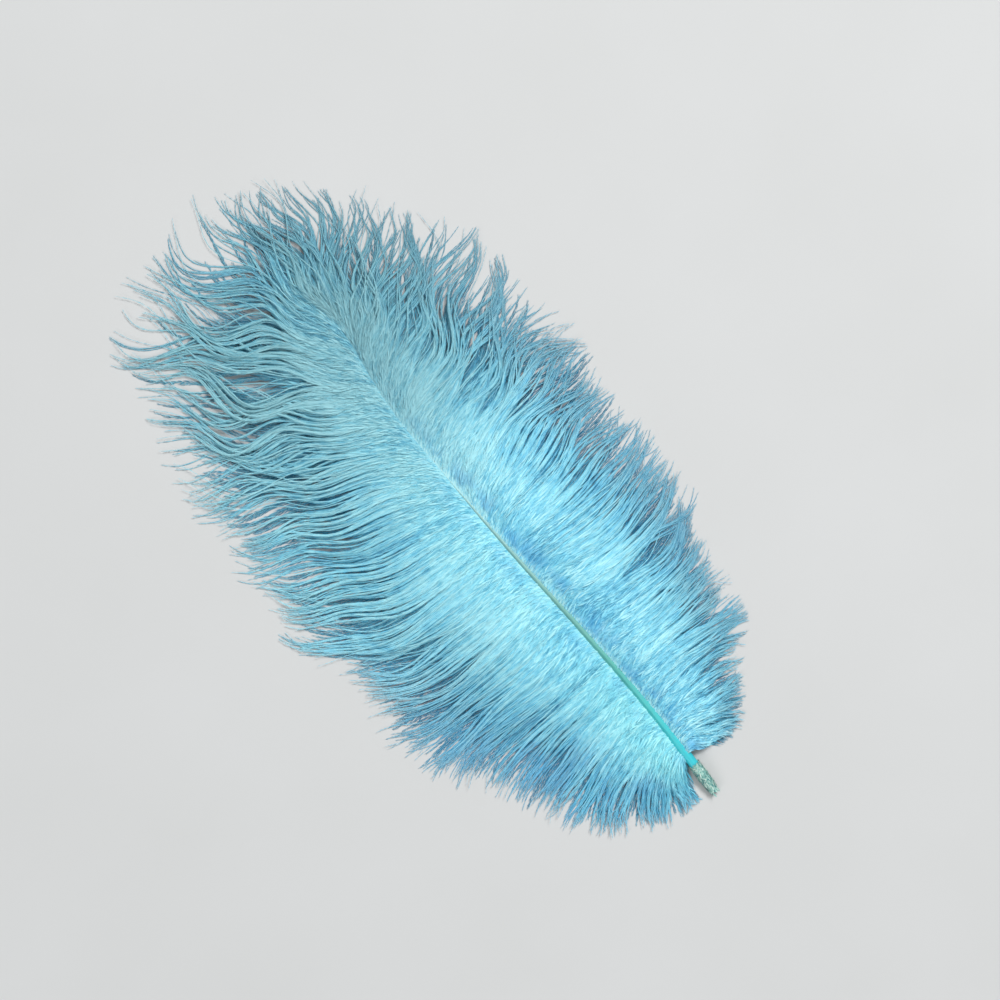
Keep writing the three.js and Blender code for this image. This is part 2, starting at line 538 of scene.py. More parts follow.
def drift(places, spacing, dice):
    """A smooth random curve along the vane, read at the barbs' places."""
    knots = np.arange(0, last_row + 2 * spacing, spacing)
    return read_rows(knots, dice.normal(0, 1, (len(knots), 1)), places)


print("groups swing at", PACE_SCATTER, "times the common pace")

# %% [markdown]
# ## Heights
#
# From the shaft a barb rises a little, so that the shaft lies in a shallow valley, then droops and
# lies on the table. Short barbs, and those near the tip, arch less. Strands lie over and under one
# another, so each has a layer of its own, and the upper ones throw the shadows that part the strands.

# %% A barb's height along its length
BARB_LOFT = 5.0
LOFT_AT_TOP = 0.8
LOFT_FALLS = (0.45, 0.78)
LONG_BARB = 75.0
LYING_FROM = 0.86
LYING_HEIGHT = 0.4
# The layers come this much closer together over the outer half of the barbs
LAYERS_CLOSE_FROM = 0.5
LAYERS_CLOSE_BY = 0.5
# The height of the roots against the shaft's middle, in shaft radii. On the right they overlap its
# edge, and near the tip they cover it.
ROOT_RISE = {-1: -0.45, 1: 0.2}
COVERED_RISE = 1.4
COVERED_FROM, COVERED_TO = 0.5, 0.8


def course_height(t, loft, root_height, lift):
    """Heights at shares t: a droop from the root, an arch on top of it, and the barb's own layer."""
    fall = np.clip(t / LYING_FROM, 0, 1)
    droop = (1 - fall) ** 2 * (1 + 2 * fall)
    # The factor makes the arch 1 at its highest place
    arch = 27 / 4 * fall * (1 - fall) ** 2
    closeness = 1 - LAYERS_CLOSE_BY * smooth_step(LAYERS_CLOSE_FROM, 1, t)
    base = LYING_HEIGHT + (root_height - LYING_HEIGHT) * droop + loft * arch
    return np.maximum(base + lift * closeness, LYING_HEIGHT)


def barb_loft(station, span):
    """How high a barb arches: most in the middle of the plume, less for the short ones at the quill."""
    loft = BARB_LOFT + (LOFT_AT_TOP - BARB_LOFT) * smooth_step(*LOFT_FALLS, station)
    return loft * np.minimum(span / LONG_BARB, 1)


def root_heights(station, side):
    along = station * shaft_length
    covered = smooth_step(COVERED_FROM, COVERED_TO, station)
    rise = ROOT_RISE[side] + (COVERED_RISE - ROOT_RISE[side]) * covered
    return shaft_point(along)[:, 2] + rise * shaft_radius(along)


print("long barbs arch", BARB_LOFT, "mm low down and", LOFT_AT_TOP, "mm at the top")

# %% [markdown]
# ## From a crowd of barbs to strands
#
# The habits change from the quill to the tip. Low down the barbs are matted into a smooth fur for most
# of their length, and near the tip they part early and curl more. `np.interp` reads such a change from
# a short list of places along the shaft. First every barb gets its place, its group and its reach.

# %% Gather the barbs of one side
COURSE_STEPS = 44
STATIONS = (0.0, 0.45, 0.65, 0.82, 1.0)
# The share of a barb's length at which strands have formed, for each station
STRANDS_FORM = (0.75, 0.85, 0.75, 0.45, 0.3)
TOP_STATIONS = (0.62, 0.95)
LOCK_REACH_SCATTER = 0.03
SHORTEST, LONGEST = 0.6, 1.08


@dataclass
class Crowd:
    """The barbs of one layer on one side: a value for each, and in `t` its steps' shares of length."""

    place: np.ndarray
    station: np.ndarray
    span: np.ndarray
    top: np.ndarray
    strand: np.ndarray
    strand_middle: np.ndarray
    lock: np.ndarray
    lock_middle: np.ndarray
    t: np.ndarray
    forms_at: np.ndarray


def group_normal(numbers, dice):
    """A random value for each group, the same for all of its barbs."""
    return dice.normal(0, 1, numbers.max() + 1)[numbers]


def group_uniform(numbers, low, high, dice):
    return dice.uniform(low, high, numbers.max() + 1)[numbers]


def gather_crowd(rows, habit, dice):
    place = root_places(rows, habit.barbs)
    strand, strand_middle = gather(place, habit.strand_sizes, dice)
    lock, lock_middle = gather(place, habit.lock_sizes, dice)
    station = np.interp(place, row_numbers, rows[:, 0]) / shaft_length
    top = smooth_step(*TOP_STATIONS, station)
    reach = habit.reach + (habit.reach_at_top - habit.reach) * top
    reach = reach + habit.reach_scatter * (1 + 2 * top) * dice.normal(0, 1, len(place))
    reach = np.clip(reach + LOCK_REACH_SCATTER * group_normal(lock, dice), SHORTEST, LONGEST)
    t = np.linspace(0, 1, COURSE_STEPS) * reach[:, None]
    span = np.interp(place, row_numbers, np.hypot(rows[:, 1], rows[:, 2] - rows[:, 0]))
    forms_at = np.interp(station, STATIONS, STRANDS_FORM)[:, None]
    return Crowd(place, station, span, top, strand, strand_middle, lock, lock_middle, t, forms_at)


trial = gather_crowd(LEFT_VANE, UPPER, trial_dice)
print("a trial crowd has", trial.strand[-1] + 1, "strands in", trial.lock[-1] + 1, "locks")

# %% Draw the barbs together
FORMING_FROM = 0.2
LOCKS_GATHER = (0.3, 1.0)
TIPS_FROM = 0.8
TIP_RELEASE = 0.6
TUFT_PULL = 0.8
TUFT_LENGTH = 3.5


def strands_formed(crowd):
    return smooth_step(FORMING_FROM, 1, crowd.t / crowd.forms_at)


def gathered_courses(rows, side, habit, crowd):
    """The courses seen from above, each drawn towards the middle of its strand and its lock."""
    release = 1 - TIP_RELEASE * smooth_step(TIPS_FROM, 1.0, crowd.t)
    tuft = TUFT_PULL * np.exp(-crowd.t * crowd.span[:, None] / TUFT_LENGTH)
    to_strand = habit.strand_pull * np.maximum(strands_formed(crowd) * release, tuft)
    to_lock = habit.lock_pull * smooth_step(*LOCKS_GATHER, crowd.t)
    course = crowd.place[:, None] + to_strand * (crowd.strand_middle - crowd.place)[:, None]
    course = course + to_lock * (crowd.lock_middle - crowd.strand_middle)[:, None]
    return course_from_above(rows, side, np.clip(course, 0, last_row), crowd.t)


print("its courses:", gathered_courses(LEFT_VANE, -1, UPPER, trial).shape)

# %% [markdown]
# Then the barbs swing aside from these courses. The largest part is one wave, whose phase drifts slowly
# along the vane, so that neighbours curve alike and the eye sees long S-shaped locks. Smaller swings of
# the lock, the strand and the barb come on top of it.

# %% Swing the barbs aside
WAVE_LENGTH = 46.0
WAVE_DRIFT = 1.9
WAVE_SHIFT = 2.5
RIPPLE_DRIFT = 0.4 * WAVE_DRIFT
RIPPLE_SHIFT = 0.4
LOCK_OUT_OF_STEP = 0.6
STRAND_OUT_OF_STEP = 0.35
WAVE_GROWS = (0.1, 0.3, 0.9, 1.1, 1.0)
SWAY_GROWS = (0.3, 1.0, 1.1, 1.1, 1.0)
CURL_GROWS = (0.3, 0.9, 1.3, 1.6, 1.6)
SWAY_STARTS = (0.1, 1.3)
STRAY_SHARE = 0.1
STRAY_SWAY = 1.9
LOOSE_END = 2.0
LOCK_TURNS, STRAND_TURNS, CURL_TURNS, BARB_TURNS = 0.8, 1.1, 3.0, 1.8


def side_waves(habit, crowd, dice):
    """The wave that neighbours share."""
    phase = WAVE_SHIFT * drift(crowd.place, WAVE_DRIFT, dice)
    phase = phase + RIPPLE_SHIFT * drift(crowd.place, RIPPLE_DRIFT, dice)
    phase = phase + LOCK_OUT_OF_STEP * group_normal(crowd.lock, dice)[:, None]
    phase = phase + STRAND_OUT_OF_STEP * group_normal(crowd.strand, dice)[:, None]
    size = habit.wave * np.interp(crowd.station, STATIONS, WAVE_GROWS)[:, None]
    return size * np.sin(2 * np.pi * crowd.t * crowd.span[:, None] / WAVE_LENGTH + phase)


def side_swing(habit, crowd, dice):
    """How far the barbs lie to the left of their courses, at every step."""
    count = len(crowd.place)
    more_sway = np.interp(crowd.station, STATIONS, SWAY_GROWS)[:, None]
    more_curl = np.interp(crowd.station, STATIONS, CURL_GROWS)[:, None]
    strays = dice.uniform(0, 1, count) < STRAY_SHARE
    stray = np.where(strays, STRAY_SWAY, 1.0)[crowd.strand][:, None]
    loose_end = 1 + LOOSE_END * smooth_step(TIPS_FROM, 1, crowd.t)
    growth = smooth_step(*SWAY_STARTS, crowd.t / crowd.forms_at)
    return growth * (
        side_waves(habit, crowd, dice)
        + habit.lock_sway * more_sway * wander(crowd.lock, crowd.t, LOCK_TURNS, dice)
        + habit.strand_sway * more_sway * wander(crowd.strand, crowd.t, STRAND_TURNS, dice) * stray
        + habit.strand_curl * more_curl * wander(crowd.strand, crowd.t, CURL_TURNS, dice)
        + habit.barb_sway * loose_end * wander(np.arange(count), crowd.t, BARB_TURNS, dice)
    )


trial_swing = side_swing(UPPER, trial, trial_dice)
print("it swings", round(float(np.abs(trial_swing).mean()), 1), "mm aside on average")

# %% [markdown]
# The last step stacks the barbs. A strand's lift decides which ones it passes over, and it only counts
# where strands have formed, so the fur beside the shaft stays even.

# %% Lay out every barb of one side
FUR_LIFT = 0.4
LIFT_GROWS = (0.0, 0.08)
LIFT_SCATTER = 0.15
SHALLOWER_AT_TOP = 0.65
CURL_FROM = 0.55
CURL_BASE = 0.5
CURL_SCATTER = (0.4, 1.6)


def stack_lifts(habit, crowd, dice):
    """How far each barb lies above or below the middle of the vane."""
    count = len(crowd.place)
    layer = 0.5 * group_uniform(crowd.lock, 0, 1, dice) + 0.5 * dice.uniform(0, 1, count)[crowd.strand]
    lift = habit.lowest + (habit.highest - habit.lowest) * layer + dice.normal(0, LIFT_SCATTER, count)
    return np.where(lift < 0, lift * (1 - SHALLOWER_AT_TOP * crowd.top), lift)


def lay_courses(rows, side, habit, dice):
    """The courses of one side's barbs, an array of barbs by steps by x, y and z, and their marks."""
    crowd = gather_crowd(rows, habit, dice)
    t = crowd.t
    flat = gathered_courses(rows, side, habit, crowd)
    ahead = unit(np.gradient(flat, axis=1))
    aside = np.stack([-ahead[..., 1], ahead[..., 0]], -1)
    flat = flat + aside * side_swing(habit, crowd, dice)[..., None]
    curl_size = habit.tip_curl * (CURL_BASE + crowd.top) * group_uniform(crowd.lock, *CURL_SCATTER, dice)
    flat[..., 1] += curl_size[:, None] * (np.maximum(t - CURL_FROM, 0) / (1 - CURL_FROM)) ** 2

    lift = stack_lifts(habit, crowd, dice)
    raised = (FUR_LIFT + (1 - FUR_LIFT) * strands_formed(crowd)) * smooth_step(*LIFT_GROWS, t)
    roots = root_heights(crowd.station, side)[:, None]
    loft = barb_loft(crowd.station, crowd.span)[:, None]
    height = course_height(t, loft, roots, lift[:, None] * raised)
    count = len(crowd.place)
    marks = {"lift": lift, "tone": dice.uniform(0, 1, count), "station": crowd.station}
    marks["right"] = np.full(count, float(side > 0))
    return np.concatenate([flat, height[..., None]], -1), marks


trial_courses, _ = lay_courses(LEFT_VANE, -1, UPPER, trial_dice)
print("its barbs rise to", round(float(trial_courses[..., 2].max()), 1), "mm above the table")

# %% [markdown]
# ## Barbules
#
# A barb is a fine rib with two rows of barbules that lean forwards. Beside the shaft they are short,
# stand away from the rib and look like fur, with a few that stick together as a longer hair, painted
# paler as a highlight.
# Further out they are long and cling to the rib. A barbule is drawn as a thin diamond of two triangles,
# bent at its middle. Its points follow the barb's own course, so that the rows bend with the barb, and
# it droops towards its tip, so that a strand is round from above.

# %% A frame that follows the barb
PAST_TIP = 7.0


def side_and_up(ahead):
    """The level direction to the right of lines that run ahead, and the upward one across them."""
    aside = unit(np.cross(ahead, [0, 0, 1.0]))
    return aside, np.cross(aside, ahead)


def barb_frame(course):
    """Functions that read a barb's centre line, its left-right direction and its upward direction."""
    steps = np.linalg.norm(np.diff(course, axis=0), axis=1)
    arc = np.concatenate([[0], np.cumsum(steps)])
    length = arc[-1]
    end = course[-1] + (course[-1] - course[-2]) / steps[-1] * PAST_TIP
    line = np.concatenate([course, [end]])
    arc = np.concatenate([arc, [length + PAST_TIP]])
    aside, upward = side_and_up(unit(np.gradient(line, arc, axis=0)))

    def reader(values):
        return lambda s: np.stack([np.interp(s, arc, values[:, k]) for k in range(3)], -1)

    return length, reader(line), reader(aside), reader(upward)


trial_barb = barb_frame(trial_courses[UPPER.barbs // 2])
print("a trial barb is", round(trial_barb[0], 1), "mm long")

# %% How the barbules of one barb grow
FUR_UNTIL = (6.0, 34.0)
FUR_LENGTH = 3.6
FUR_SPREAD = 1.6
FUR_SWAY = 30.0
CLINGING_SWAY = 11.0
MORE_NEAR_ROOT = 1.15
LENGTH_SCATTER = (0.7, 1.2)
SPREAD_SCATTER = (0.3, 1.2)
# At the root the barbules have half their length, and on the first few millimetres they reach it all
HALF_LENGTH_OVER = 6.0
TIP_THINNING = 0.75
TIP_THINNING_POWER = 2.4
HAIR_SHARE = 0.08
HAIR_LONGER = 1.8


@dataclass
class Barbules:
    """The barbules of one barb, a value for each: places, lengths and spreads in millimetres."""

    start_at: np.ndarray
    hand: np.ndarray
    fur: np.ndarray
    long: np.ndarray
    spread: np.ndarray
    sway: np.ndarray
    hair: np.ndarray


def grow_barbules(length, habit, dice):
    count = 2 * int(length / habit.barbule_gap)
    order = (np.arange(count) // 2 + dice.uniform(0, 1, count)) / (count // 2)
    start_at = length * np.minimum(order, 1) ** MORE_NEAR_ROOT
    hand = np.tile([1.0, -1.0], count // 2)
    fur = habit.fluff * (1 - smooth_step(*FUR_UNTIL, start_at))
    thinning = np.clip(0.5 + start_at / HALF_LENGTH_OVER, 0, 1)
    thinning = thinning * (1 - TIP_THINNING * (start_at / length) ** TIP_THINNING_POWER)
    long = (habit.barbule_length * (1 - fur) + FUR_LENGTH * fur) * thinning
    long = long * dice.uniform(*LENGTH_SCATTER, count)
    spread = (habit.spread * (1 - fur) + FUR_SPREAD * fur) * thinning
    spread = spread * dice.uniform(*SPREAD_SCATTER, count)
    sway = dice.normal(0, 1, count) * (CLINGING_SWAY * (1 - fur) + FUR_SWAY * fur)
    hair = dice.uniform(0, 1, count) < HAIR_SHARE * fur
    return Barbules(start_at, hand, fur, long * np.where(hair, HAIR_LONGER, 1), spread, sway, hair)


print("it carries", len(grow_barbules(trial_barb[0], UPPER, trial_dice).hand), "barbules")

# %% Draw the barbules of one barb
MID_SHARE = 0.45
MID_SPREAD = 0.6
# How far the middle, the tip and the flat side of a barbule turn down, in degrees
MID_DROOP, TIP_DROOP, SIDE_DROOP = 8, 26, 48
FUR_DROOPS_LESS = 0.6
ROOT_OFFSET = 0.04
HAIR_WIDER = 2.6
HAIR_RISE = 0.35
# Hairs get a fleck past the usual range, which paints them paler as a highlight
HAIR_HIGHLIGHT = 1.4
LOWEST_POINT = 0.05
# Where a barbule's four points stand across its barb's strip of the flat map
SHEET_ACROSS = (0.05, 0.55, 0.7, 1.0)


def draw_barbules(barb, habit, dice):
    """Points, faces, and for each point: share of the barb, place across, distance out, fleck and
    painted highlight, rib.
    """
    length, line, aside, upward = barb
    grown = grow_barbules(length, habit, dice)
    count = len(grown.hand)

    def outwards(s, droop):
        tilt = np.radians(grown.sway - droop * (1 - FUR_DROOPS_LESS * grown.fur))[:, None]
        return grown.hand[:, None] * np.cos(tilt) * aside(s) + np.sin(tilt) * upward(s)

    middle_at = grown.start_at + MID_SHARE * grown.long
    end_at = grown.start_at + grown.long
    base = line(grown.start_at) + outwards(grown.start_at, 0) * ROOT_OFFSET
    bend = line(middle_at) + outwards(middle_at, MID_DROOP) * (MID_SPREAD * grown.spread)[:, None]
    tip = line(end_at) + outwards(end_at, TIP_DROOP) * grown.spread[:, None]
    width = habit.barbule_half_width * np.where(grown.hair, HAIR_WIDER, 1)
    half = width[:, None] * outwards(middle_at, SIDE_DROOP)
    bend[:, 2] += HAIR_RISE * grown.hair
    points = np.stack([base, bend - half, bend + half, tip], 1)
    points[..., 2] = np.maximum(points[..., 2], LOWEST_POINT)
    first = 4 * np.arange(count)[:, None]
    faces = np.concatenate([first + [0, 1, 2], first + [1, 3, 2]])
    out = np.stack([grown.start_at, middle_at, middle_at, end_at], 1).ravel()
    across = (grown.hand[:, None] * np.array(SHEET_ACROSS)).ravel()
    # hairs are painted paler as a highlight
    fleck = np.repeat(np.where(grown.hair, HAIR_HIGHLIGHT, dice.uniform(0, 1, count)), 4)
    return points.reshape(-1, 3), faces, np.stack([out / length, across, out, fleck, 0 * out], 1)


print("they are", len(draw_barbules(trial_barb, UPPER, trial_dice)[1]), "triangles")

# %% [markdown]
# The rib itself is a narrow strip, bent along its middle like a roof, so that it catches the light as
# a round hair does. It is thickest and palest where it leaves the shaft.

# %% The rib of one barb
RIB_RADIUS = 0.11
RIB_TIP_RADIUS = 0.05
RIB_ROOT_SWELL = 0.11
ROOT_SWELL_FADES_IN = 3.0
RIB_STEPS = 18
SHORTER_STEPS_NEAR_ROOT = 1.1
LOWEST_RIB_POINT = 0.03
# The rib's fleck is high, so that it is painted paler than most barbules, as a highlight
RIB_HIGHLIGHT_FLECK = 0.8
RIB_SHEET_HALF = 0.04


def strip_faces(steps):
    """The triangles of a strip that has three points across it."""
    near = (3 * np.arange(steps)[:, None] + [0, 1]).ravel()
    return np.concatenate([
        np.stack([near, near + 1, near + 4], 1),
        np.stack([near, near + 4, near + 3], 1),
    ])


def draw_rib(barb):
    length, line, aside, upward = barb
    at = length * np.linspace(0, 1, RIB_STEPS + 1) ** SHORTER_STEPS_NEAR_ROOT
    thick = RIB_TIP_RADIUS + (RIB_RADIUS - RIB_TIP_RADIUS) * (1 - at / length)
    thick = thick + RIB_ROOT_SWELL * np.exp(-at / ROOT_SWELL_FADES_IN)
    section = np.array([-1.0, 0.0, 1.0])
    points = line(at)[:, None] + (thick[:, None] * section)[..., None] * aside(at)[:, None]
    points[:, 1] += thick[:, None] * upward(at)
    points[..., 2] = np.maximum(points[..., 2], LOWEST_RIB_POINT)
    out = np.repeat(at, 3)
    across = np.tile(RIB_SHEET_HALF * section, RIB_STEPS + 1)
    values = np.stack([out / length, across, out, np.full(out.shape, RIB_HIGHLIGHT_FLECK), np.ones(out.shape)], 1)
    return points.reshape(-1, 3), strip_faces(RIB_STEPS), values


print("its rib is", len(draw_rib(trial_barb)[1]), "triangles")


# %% Grow one side
# The flat map gives each barb a strip, longer than the barb because barbules can pass its tip
STRIP_LENGTH = 1.2
STRIP_HALF_WIDTH = 0.45


def join(parts):
    """Joins lists of (points, faces, values) into single arrays."""
    shift = np.cumsum([0] + [len(points) for points, *_ in parts[:-1]])
    points = np.concatenate([part[0] for part in parts])
    faces = np.concatenate([part[1] + move for part, move in zip(parts, shift)])
    return points, faces, np.concatenate([part[2] for part in parts])


def grow_piece(name, run, courses, marks, habit, dice, material):
    """One piece of the plume, from the barbs whose numbers are in `run`."""
    parts, number = [], []
    for barb_number in run:
        barb = barb_frame(courses[barb_number])
        grown = (draw_barbules(barb, habit, dice), draw_rib(barb))
        parts += grown
        number.append(np.full(sum(len(part[0]) for part in grown), barb_number))
    points, faces, values = join(parts)
    number = np.concatenate(number)
    share, across, out, fleck, rib = values.T
    piece_marks = {mark: value[number] for mark, value in marks.items()}
    piece_marks.update(share=share, out=out, fleck=fleck, rib=rib)
    strip = number - run[0] + 0.5 + STRIP_HALF_WIDTH * across
    sheet = np.stack([share / STRIP_LENGTH, strip / len(run)], -1)
    make_piece(name, points, faces, piece_marks, sheet, material)


def grow_side(name, rows, side, habit, regions, dice, material):
    courses, marks = lay_courses(rows, side, habit, dice)
    for run, region in zip(np.array_split(np.arange(len(courses)), len(regions)), regions):
        grow_piece(f"{habit.name}_{name}{region}", run, courses, marks, habit, dice, material)


# %% [markdown]
# ## The barbs' dye
#
# Pale grey down takes a light dye unevenly. It is a deeper blue in the outer half low down, and a greyer
# teal towards the tip, where the down is thinnest. Every barbule has its own depth of colour, and soft
# streaks follow the barbs. Light and shade are painted on top: an icy cyan beside the shaft on the left,
# paler ribs, hairs and barb ends, and darker barbs low in the stack and towards their ends. The marks
# that the meshes carry say where on the plume a point is, so the material needs no picture.

# %% Read the barbs' marks
BUMP_DISTANCE = 0.0002

dye, start = new_material("dyed_barbs")


def read_mark(start, name):
    """A number that the mesh carries at each of its points."""
    return start.node("ShaderNodeAttribute", {"attribute_name": name}, {}, "Fac")


def rise_between(value, low, high):
    """A smooth step from 0 to 1 as a value goes from low to high."""
    inputs = {"Value": value, "From Min": low, "From Max": high}
    return value.node("ShaderNodeMapRange", {"interpolation_type": "SMOOTHSTEP"}, inputs, "Result")


def ramp(value, stops):
    return value.node("ShaderNodeValToRGB", {"stops": stops}, {"Fac": value}, "Color")


def noise_at(place, detail):
    return place.node("ShaderNodeTexNoise", {}, {"Vector": place, "Scale": 1.0, "Detail": detail}, "Fac")


def bump(height, strength):
    inputs = {"Height": height, "Strength": strength, "Distance": BUMP_DISTANCE}
    return height.node("ShaderNodeBump", {}, inputs, "Normal")


station, share, out = (read_mark(start, name) for name in ("station", "share", "out"))
lift, tone, fleck, rib = (read_mark(start, name) for name in ("lift", "tone", "fleck", "rib"))
right = read_mark(start, "right")
print("the dye reads", len(dye.node_tree.nodes), "marks")

# %% [markdown]
# First the streaks and the zones of the plume, as masks from 0 to 1. The noise is read on the plume's
# own map, in fine steps along the shaft and in long ones out along the barbs, so that it makes streaks.


# %% Mask the zones of the plume
def streaks(along_scale, out_scale, detail):
    inputs = {"X": station * along_scale, "Y": out * out_scale, "Z": fleck * 0.3}
    return noise_at(start.node("ShaderNodeCombineXYZ", {}, inputs), detail)


patches = streaks(26.0, 0.05, 2.0)
fine = streaks(200.0, 0.22, 3.0)
left = 1 - right
top = rise_between(station, 0.55, 0.95)
below_top = 1 - top
inner = 1 - rise_between(out, 5.0, 32.0)
outer = rise_between(out, 32.0, 72.0)
at_quill = 1 - rise_between(station, 0.12, 0.4)
low_down = 1 - rise_between(station, 0.3, 0.6) * (1 - right * 0.6)
low_left = left * (1 - rise_between(station, 0.2, 0.42)) * rise_between(share, 0.4, 0.62)
# painted light: the left middle of the vane, and the upper inner zone on the right, are made paler
left_middle_light = left * rise_between(station, 0.3, 0.5) * (1 - rise_between(station, 0.8, 0.95))
upper_inner_light = inner * rise_between(station, 0.5, 0.7)
beside_shaft = rise_between(out, 1.5, 3.5) * (1 - rise_between(out, 5.0, 12.0))
# painted shade: barbs darker towards their outer ends, where the gaps between them open
fringe_shade = rise_between(share + right * 0.13, 0.75, 1.0)
# painted shade: barbs that lie low in the stack are darker further out
buried_shade = (1 - rise_between(lift, -3.0, 0.5)) * rise_between(share, 0.55, 0.85)
print("the masks take", len(dye.node_tree.nodes), "nodes")

# %% [markdown]
# Then one number, from 0 for deep to 1 for pale, chooses the blue. Barbs low in the stack are painted
# darker, as shade, most of all at the plume's top, and every barb and barbule differs a little.

# %% Choose how pale the dye is, with painted light and shade
LOWEST_LIFT, LIFT_SPAN = -4.0, 7.0
# painted shade: the lower a barb lies in the stack, the darker it is
pale = (lift - LOWEST_LIFT) / LIFT_SPAN * 0.6 + tone * 0.2 + fleck * 0.32 - 0.1
pale = pale + (patches - 0.5) * 0.4 + (fine - 0.5)
# painted light: paler in the left middle; the upper inner zone paler on the right, a little darker on
# the left
pale = pale + left_middle_light * 0.1 + upper_inner_light * (right * 0.3 - 0.02)
# painted shade: at the top, barbs that lie below the others are darker still
pale = pale + top * (lift - 0.9) * 0.09 - inner * below_top * 0.07
colour = ramp(pale, [
    (0.05, linear(38, 118, 162)),
    (0.35, linear(92, 188, 222)),
    (0.6, linear(134, 220, 241)),
    (0.95, linear(178, 240, 249)),
])
print("and the ramp makes it", len(dye.node_tree.nodes))

# %% [markdown]
# Last, each zone pulls the colour towards its own, one over another: how strongly, and to what colour.

# %% Tint the zones, with painted light and shade
# deeper blue dye blots beside the shaft, stronger on the right as painted shade of the slope that faces
# away from the key light
blots_and_valley_shade = rise_between(streaks(34.0, 0.12, 1.0), 0.42, 0.62) * beside_shaft * (0.2 + right * 0.4)
# painted highlight: the rib paler further out from the shaft
rib_highlight = rib * rise_between(out, 8.0, 30.0)
rib_root = rib * (1 - rise_between(out, 1.5, 4.5)) * below_top
quill_ends = at_quill * rise_between(share, 0.3, 0.8)
tints = (
    (low_left * rise_between(patches, 0.46, 0.6) * 0.5, linear(34, 132, 200)),
    # painted light: an icy cyan beside the shaft on the left, where that slope faces the key light
    (inner * below_top * left * (0.1 + at_quill * 0.22), linear(148, 241, 236)),
    # dye blots, with painted shade on the right beside the shaft
    (blots_and_valley_shade * below_top, linear(88, 182, 230)),
    (outer * low_down * 0.55, linear(58, 142, 194)),
    (quill_ends * (0.5 - right * 0.35), linear(72, 182, 222)),
    # painted shade towards the barbs' outer ends, more on the right
    (fringe_shade * (0.2 + right * 0.17), linear(70, 132, 160)),
    # painted shade on the low-lying barbs
    (buried_shade * 0.45, linear(40, 94, 120)),
    (top * (0.42 + right * 0.18), linear(90, 140, 152)),
    # painted highlight along the rib
    (rib_highlight * 0.4, linear(180, 228, 238)),
    # painted light: the barbs' ends whitened, where light shines through their thin tips
    (rise_between(share, 0.92, 1.06) * 0.7, linear(188, 218, 226)),
    (rib_root * (0.15 + right * 0.4), linear(196, 230, 226)),
)
for strength, tint in tints:
    colour = blend(start, strength, colour, tint)
sockets = {"Base Color": colour, "Roughness": 0.5 + 0.25 * fine, "Normal": bump(fine, 0.3)}
end_material(start, sockets)
print("the whole dye has", len(dye.node_tree.nodes), "nodes")

# %% Grow both sides
dice = np.random.default_rng(20)
for side_name, rows, side in (("left", LEFT_VANE, -1), ("right", RIGHT_VANE, 1)):
    grow_side(side_name, rows, side, UNDER, ("",), dice, dye)
    grow_side(side_name, rows, side, UPPER, ("_base", "_middle", "_tip"), dice, dye)
    grow_side(side_name, rows, side, WISPS, ("",), dice, dye)

# %% [markdown]
# ## The shaft
#
# The shaft is a stiff horny rod. Its bare quill is hollow and smooth, and the last twelve millimetres
# still wear the sheath that it grew in, which has dried and flakes off. Above the quill it tapers to a
# thread, with a fine groove along its left flank. It is one tube, whose rings start inside the hollow
# end, turn round the rim and follow the centre line to the tip.

# %% Draw the shaft's rings
SHAFT_SIDES = 28
SHAFT_RINGS = 220
GROOVE_AT = math.radians(138)
GROOVE_HALF_ANGLE = math.radians(17)
GROOVE_DEPTH = 0.2
GROOVE_STARTS = (20, 30)
END_NARROWS = 0.24
END_LENGTH = 4.5


def shaft_surface(along, angle, radius):
    """Points at angles round the shaft, where zero is its right flank and a quarter turn its top."""
    step = 0.1
    ahead = shaft_point(along + step) - shaft_point(along - step)
    aside, upward = side_and_up(unit(ahead))
    round_it = np.cos(angle)[..., None] * aside + np.sin(angle)[..., None] * upward
    return shaft_point(along) + radius[..., None] * round_it


def bare_radius(along, angle):
    """The smooth shaft's radius with its groove and its narrower cut end."""
    off = (angle - GROOVE_AT + np.pi) % (2 * np.pi) - np.pi
    groove = np.exp(-((off / GROOVE_HALF_ANGLE) ** 2)) * smooth_step(*GROOVE_STARTS, along)
    end = np.exp(-((along / END_LENGTH) ** 2))
    return shaft_radius(along) * (1 - GROOVE_DEPTH * groove) * (1 - END_NARROWS * end)


def rings_to_mesh(grid):
    """Quads split in triangles over a grid of rings, each ring closed on itself."""
    rings, sides = grid.shape[:2]
    i = np.arange(rings - 1)[:, None] * sides
    j = np.arange(sides)[None, :]
    near, beside = (i + j).ravel(), (i + (j + 1) % sides).ravel()
    lower = np.stack([near, beside, beside + sides], 1)
    upper = np.stack([near, beside + sides, near + sides], 1)
    return grid.reshape(-1, 3), np.concatenate([lower, upper])


print("rings", SHAFT_RINGS, "of", SHAFT_SIDES, "points")

# %% [markdown]
# The dried sheath makes the end thicker, with shallow flutes, and it stops along a ragged edge. The rim
# is ragged too, and inside it the tube narrows to the bottom of its hollow.

# %% Draw the shaft
HOLLOW_DEPTH = 5.0
HOLLOW_RADIUS = 0.9
HOLLOW_RINGS = 8
HOLLOW_CLOSES = 0.9
CLOSER_RINGS_AT_QUILL = 1.3
RIM_SCATTER, RIM_WAVE, RIM_FADES_IN = 0.5, 0.25, 1.5
SHEATH_LENGTH = 12.4
SHEATH_THICKNESS = 0.2
TIP_CLOSES_IN = 0.5
SHEET_TURNS = 7


def sheath_cover(along, angle):
    """1 on the sheath and 0 above its ragged edge."""
    edge = SHEATH_LENGTH + 0.8 * np.sin(2 * angle + 1) + 0.5 * np.sin(5 * angle)
    return 1 - smooth_step(-0.3, 0.3, along - edge)


